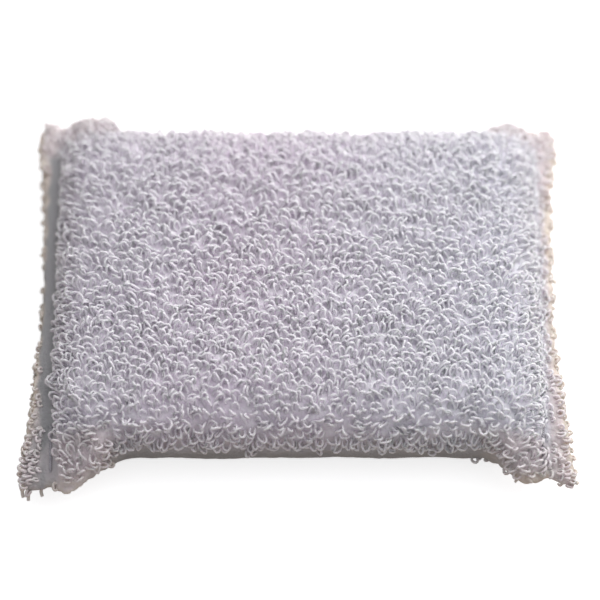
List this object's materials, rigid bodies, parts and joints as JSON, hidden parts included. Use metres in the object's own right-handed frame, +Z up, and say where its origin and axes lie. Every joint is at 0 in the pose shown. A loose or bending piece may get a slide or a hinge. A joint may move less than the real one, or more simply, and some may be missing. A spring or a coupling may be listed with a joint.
{
  "type": "scrub pad",
  "caption": "Hand-sized scrubbing pad: a soft foam block in a sleeve of looped terry cloth, its short ends sewn flat with ears at the corners.",
  "frame": {"origin": "centre of the pad's outline, on the surface it lies on", "axes": "+X along the pad's length to the right-hand sewn end, +Y across it to the back, +Z up through its thickness"},
  "size_m": [0.1506, 0.1218, 0.0293],
  "materials": {
    "foam": "open-cell polyurethane foam, matte",
    "terry_cloth": "uncut loop pile, off-white with a lilac cast, matte with a faint sheen on the loops",
    "sewing_thread": "spun polyester thread, matte"
  },
  "bodies": {
    "root": {"foam_core": "foam", "terry_cover": "terry_cloth", "left_seam_thread": "sewing_thread", "right_seam_thread": "sewing_thread"}
  },
  "joints": []
}
